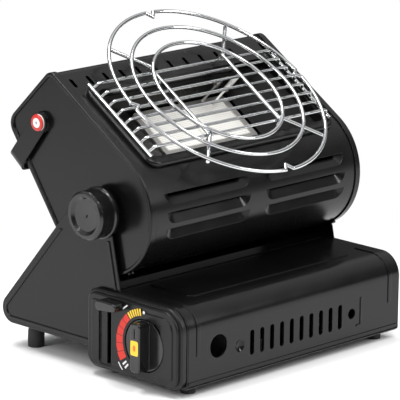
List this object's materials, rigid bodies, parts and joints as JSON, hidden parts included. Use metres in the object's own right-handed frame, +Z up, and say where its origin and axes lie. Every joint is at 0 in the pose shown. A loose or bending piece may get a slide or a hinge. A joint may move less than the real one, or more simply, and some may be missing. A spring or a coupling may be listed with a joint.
{
  "type": "portable gas heater",
  "caption": "Tabletop gas heater with a tilting drum-shaped head, ceramic burner, wire guard, ring pot support and a low cartridge case.",
  "frame": {"origin": "on the floor under the middle of the heater", "axes": "+Z up, -Y towards the user and the case's front face, -X towards the control panel"},
  "size_m": [0.337, 0.2483, 0.3118],
  "materials": {
    "black_paint": "satin",
    "chrome": "bright",
    "bare_steel": "satin",
    "ceramic": "matte",
    "brass": "satin",
    "aluminium": "satin",
    "black_plastic": "matte",
    "panel_plastic": "satin",
    "white_plastic": "matte",
    "rubber": "matte"
  },
  "bodies": {
    "base": {"base_pan": "black_paint", "lid_hinge_rod": "bare_steel", "control_panel": "panel_plastic", "gas_valve": "aluminium", "partition_plate": "bare_steel", "cartridge_cradle": "bare_steel", "piezo_igniter": "white_plastic", "gas_pipe": "brass", "swivel_ring": "brass", "pipe_grommet": "rubber", "side_plate_right": "black_paint", "side_plate_left": "black_paint", "rear_base": "black_paint", "front_feet": "rubber", "rear_feet": "rubber"},
    "head": {"drum_shell": "black_paint", "back_panel": "black_paint", "end_cap_right": "black_paint", "end_cap_left": "black_paint", "burner_frame": "black_paint", "reflector": "black_paint", "burner_body": "bare_steel", "ceramic_plates": "ceramic", "ceramic_frame": "bare_steel", "mixer_tube": "bare_steel", "swivel_bolt": "brass", "igniter_electrode": "ceramic", "thermocouple": "bare_steel", "wire_grille": "chrome", "handle_rivets": "white_plastic", "handle_bushes": "black_plastic", "pivot_stud_right": "bare_steel", "pivot_stud_left": "bare_steel", "pivot_washer_right": "black_plastic", "pivot_washer_left": "black_plastic", "rim_screws": "black_paint"},
    "lid": {"cartridge_lid": "black_paint"},
    "dial": {"control_knob": "black_plastic", "valve_spindle": "brass"},
    "lever": {"lever_arm": "bare_steel", "lever_knob": "black_plastic"},
    "yoke": {"cartridge_yoke": "bare_steel"},
    "handle": {"carry_handle": "black_paint"},
    "support": {"pot_support": "chrome", "support_ring_inner": "chrome", "support_ring_middle": "chrome", "support_ring_outer": "chrome"},
    "tilt_knob_r": {"tilt_knob_right": "black_plastic"},
    "tilt_knob_l": {"tilt_knob_left": "black_plastic"}
  },
  "joints": [
    {"name": "head_tilt", "type": "hinge", "parent": "base", "child": "head", "pos_m": [0, -0.01235, 0.155], "axis": [1, 0, 0], "range_deg": [-33, 57]},
    {"name": "tilt_knob_right_turn", "type": "hinge", "parent": "head", "child": "tilt_knob_r", "pos_m": [0, -0.01235, 0.155], "axis": [1, 0, 0], "range_deg": [0, 360]},
    {"name": "tilt_knob_left_turn", "type": "hinge", "parent": "head", "child": "tilt_knob_l", "pos_m": [0, -0.01235, 0.155], "axis": [1, 0, 0], "range_deg": [0, 360]},
    {"name": "handle_swing", "type": "hinge", "parent": "head", "child": "handle", "pos_m": [0, 0.07337, 0.22497], "axis": [1, 0, 0], "range_deg": [-10, 140]},
    {"name": "support_lift", "type": "slide", "parent": "head", "child": "support", "axis": [0, -0.5446, 0.8387], "range_m": [0, 0.06]},
    {"name": "lid_hinge", "type": "hinge", "parent": "base", "child": "lid", "pos_m": [0, -0.03335, 0.0793], "axis": [-1, 0, 0], "range_deg": [0, 40]},
    {"name": "dial_turn", "type": "hinge", "parent": "base", "child": "dial", "pos_m": [-0.15, -0.07885, 0.0435], "axis": [-1, 0, 0], "range_deg": [0, 130]},
    {"name": "lever_slide", "type": "slide", "parent": "base", "child": "lever", "axis": [0, 0, -1], "range_m": [0, 0.042]},
    {"name": "yoke_slide", "type": "slide", "parent": "base", "child": "yoke", "axis": [-1, 0, 0], "range_m": [0, 0.005]}
  ],
  "couplings": [
    {"joint": "yoke_slide", "follows": "lever_slide", "ratio": 0.119}
  ]
}
